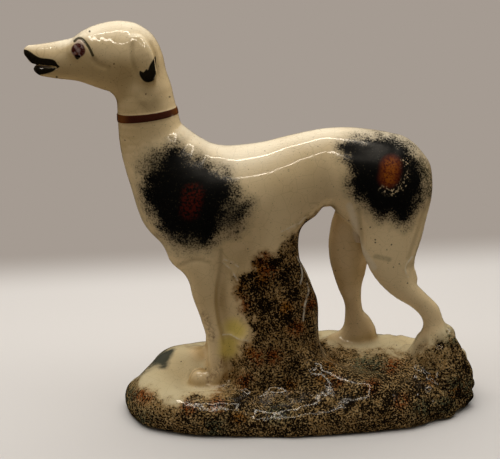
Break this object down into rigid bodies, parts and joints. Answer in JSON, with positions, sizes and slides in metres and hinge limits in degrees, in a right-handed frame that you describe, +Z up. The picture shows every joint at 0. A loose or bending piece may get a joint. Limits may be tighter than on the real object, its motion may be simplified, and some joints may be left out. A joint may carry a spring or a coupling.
{
  "type": "greyhound figurine",
  "caption": "Standing greyhound figurine on an oval rocky mound, its belly held up by a tree stump, in cream glazed earthenware with sponged patches.",
  "frame": {"origin": "middle of the flat underside of the mound", "axes": "+Z up, the dog's nose towards -X, the side with the open view of the stump towards -Y"},
  "size_m": [0.2447, 0.0961, 0.2209],
  "materials": {
    "glazed_earthenware": "glossy cream glaze with sponged dark brown, black, rust and ochre patches"
  },
  "bodies": {
    "root": {"greyhound_figurine": "glazed_earthenware"}
  },
  "joints": []
}
